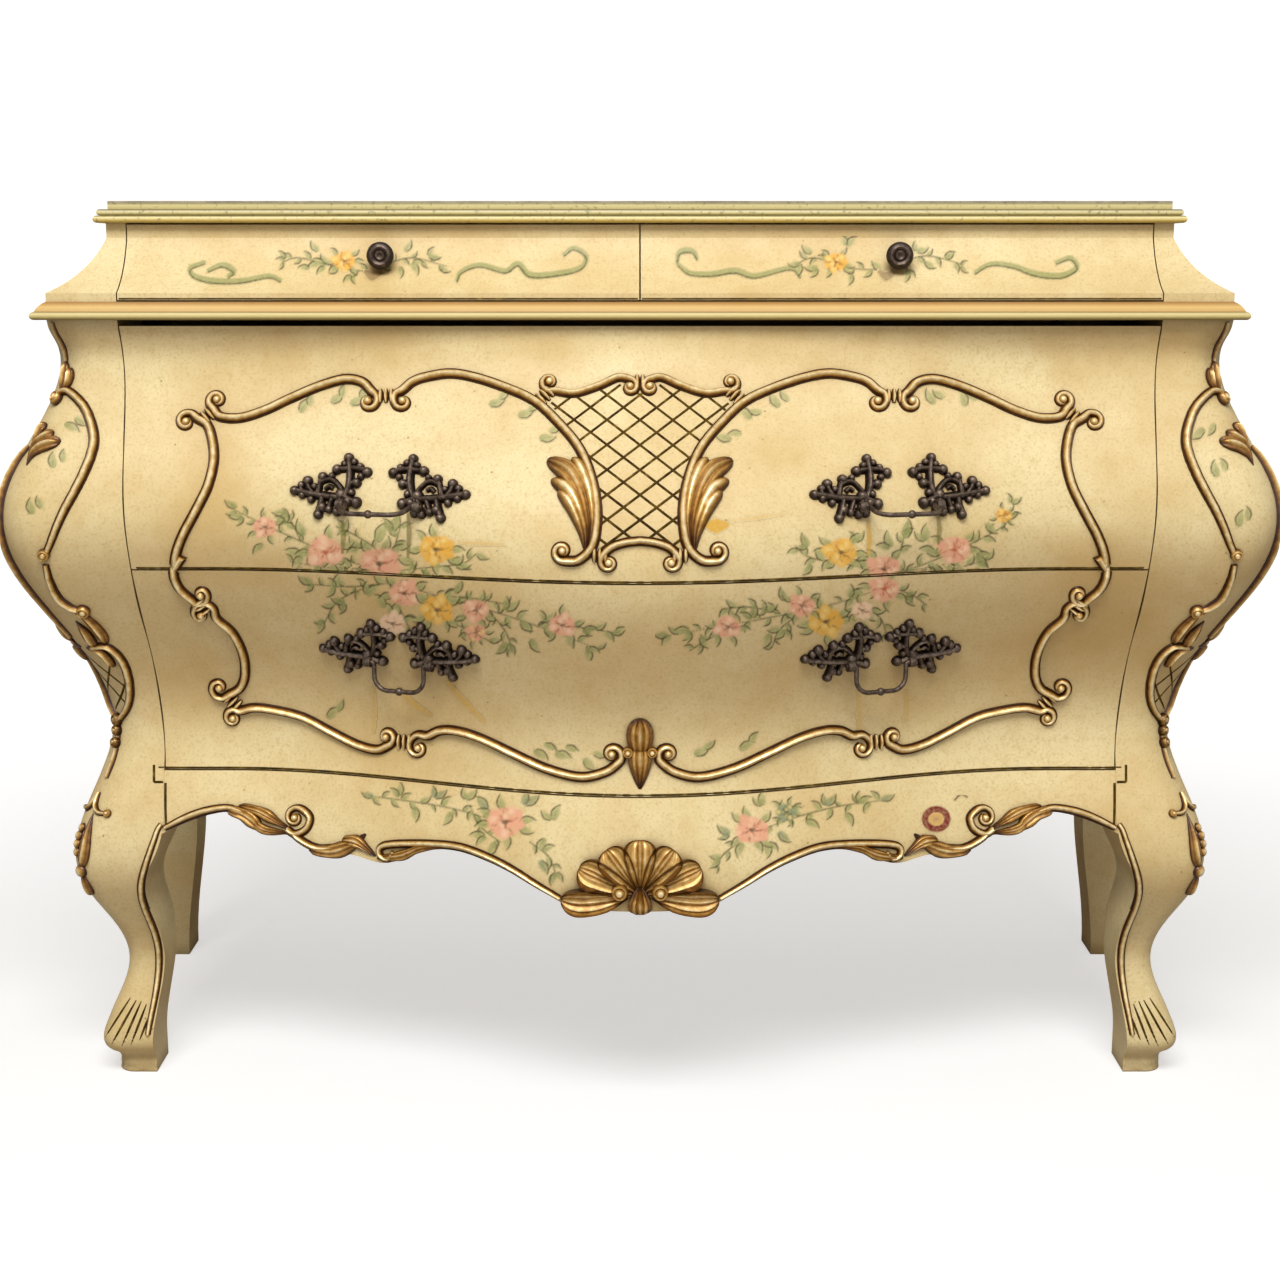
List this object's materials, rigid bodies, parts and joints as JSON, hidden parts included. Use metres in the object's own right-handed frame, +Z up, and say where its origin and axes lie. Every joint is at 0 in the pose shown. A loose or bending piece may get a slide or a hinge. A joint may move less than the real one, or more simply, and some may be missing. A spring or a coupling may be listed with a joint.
{
  "type": "bombe chest",
  "caption": "Painted bombe chest with swelling serpentine drawers under small frieze drawers, a shaped apron with a carved shell, cabriole legs and swinging bail handles.",
  "frame": {"origin": "on the floor, under the middle of the chest's bounding box", "axes": "+X to the right along the width, +Y towards the back, +Z up; the front faces -Y"},
  "size_m": [1.236, 0.5575, 0.888],
  "materials": {
    "cream_paint": "aged cream paint",
    "gilt_wood": "worn gilding",
    "painted_stone_top": "painted to look like stone",
    "bare_poplar": "unfinished wood",
    "dark_bronze": "dark patinated casting"
  },
  "bodies": {
    "carcass": {"top_board": "painted_stone_top", "frieze_end_left": "cream_paint", "frieze_end_right": "cream_paint", "frieze_divider": "bare_poplar", "frieze_back": "bare_poplar", "waist_board": "cream_paint", "front_leg_left": "cream_paint", "front_leg_right": "cream_paint", "rear_leg_left": "cream_paint", "rear_leg_right": "cream_paint", "side_panel_left": "cream_paint", "side_panel_right": "cream_paint", "apron": "cream_paint", "apron_shell": "gilt_wood", "back_panel": "bare_poplar", "dust_board": "bare_poplar", "bottom_board": "bare_poplar", "upper_guides": "bare_poplar", "lower_guides": "bare_poplar", "apron_carving": "gilt_wood"},
    "frieze_drawer_left": {"frieze_drawer_left_front": "cream_paint", "frieze_drawer_left_side_left": "bare_poplar", "frieze_drawer_left_side_right": "bare_poplar", "frieze_drawer_left_back": "bare_poplar", "frieze_drawer_left_bottom": "bare_poplar", "frieze_drawer_left_knob": "dark_bronze"},
    "frieze_drawer_right": {"frieze_drawer_right_front": "cream_paint", "frieze_drawer_right_side_left": "bare_poplar", "frieze_drawer_right_side_right": "bare_poplar", "frieze_drawer_right_back": "bare_poplar", "frieze_drawer_right_bottom": "bare_poplar", "frieze_drawer_right_knob": "dark_bronze"},
    "upper_drawer": {"upper_drawer_front": "cream_paint", "upper_drawer_side_left": "bare_poplar", "upper_drawer_side_right": "bare_poplar", "upper_drawer_back": "bare_poplar", "upper_drawer_bottom": "bare_poplar", "upper_drawer_moulding": "gilt_wood", "upper_left_pull_plates": "dark_bronze", "upper_left_pull_posts": "dark_bronze", "upper_right_pull_plates": "dark_bronze", "upper_right_pull_posts": "dark_bronze"},
    "lower_drawer": {"lower_drawer_front": "cream_paint", "lower_drawer_side_left": "bare_poplar", "lower_drawer_side_right": "bare_poplar", "lower_drawer_back": "bare_poplar", "lower_drawer_bottom": "bare_poplar", "lower_drawer_moulding": "gilt_wood", "lower_left_pull_plates": "dark_bronze", "lower_left_pull_posts": "dark_bronze", "lower_right_pull_plates": "dark_bronze", "lower_right_pull_posts": "dark_bronze"},
    "upper_left_bail": {"upper_left_pull_bail": "dark_bronze"},
    "upper_right_bail": {"upper_right_pull_bail": "dark_bronze"},
    "lower_left_bail": {"lower_left_pull_bail": "dark_bronze"},
    "lower_right_bail": {"lower_right_pull_bail": "dark_bronze"}
  },
  "joints": [
    {"name": "frieze_drawer_left_slide", "type": "slide", "parent": "carcass", "child": "frieze_drawer_left", "axis": [0, -1, 0], "range_m": [0, 0.22]},
    {"name": "frieze_drawer_right_slide", "type": "slide", "parent": "carcass", "child": "frieze_drawer_right", "axis": [0, -1, 0], "range_m": [0, 0.22]},
    {"name": "upper_drawer_slide", "type": "slide", "parent": "carcass", "child": "upper_drawer", "axis": [0, -1, 0], "range_m": [0, 0.3]},
    {"name": "lower_drawer_slide", "type": "slide", "parent": "carcass", "child": "lower_drawer", "axis": [0, -1, 0], "range_m": [0, 0.3]},
    {"name": "upper_left_bail_swing", "type": "hinge", "parent": "upper_drawer", "child": "upper_left_bail", "pos_m": [-0.244, -0.22762, 0.60695], "axis": [-0.9727, 0.2319, 0], "range_deg": [-66, 30]},
    {"name": "upper_right_bail_swing", "type": "hinge", "parent": "upper_drawer", "child": "upper_right_bail", "pos_m": [0.244, -0.22762, 0.60695], "axis": [-0.9727, -0.2319, 0], "range_deg": [-66, 30]},
    {"name": "lower_left_bail_swing", "type": "hinge", "parent": "lower_drawer", "child": "lower_left_bail", "pos_m": [-0.233, -0.19322, 0.44898], "axis": [-0.9366, 0.3504, 0], "range_deg": [-25, 100]},
    {"name": "lower_right_bail_swing", "type": "hinge", "parent": "lower_drawer", "child": "lower_right_bail", "pos_m": [0.233, -0.19322, 0.44898], "axis": [-0.9366, -0.3504, 0], "range_deg": [-25, 100]}
  ]
}
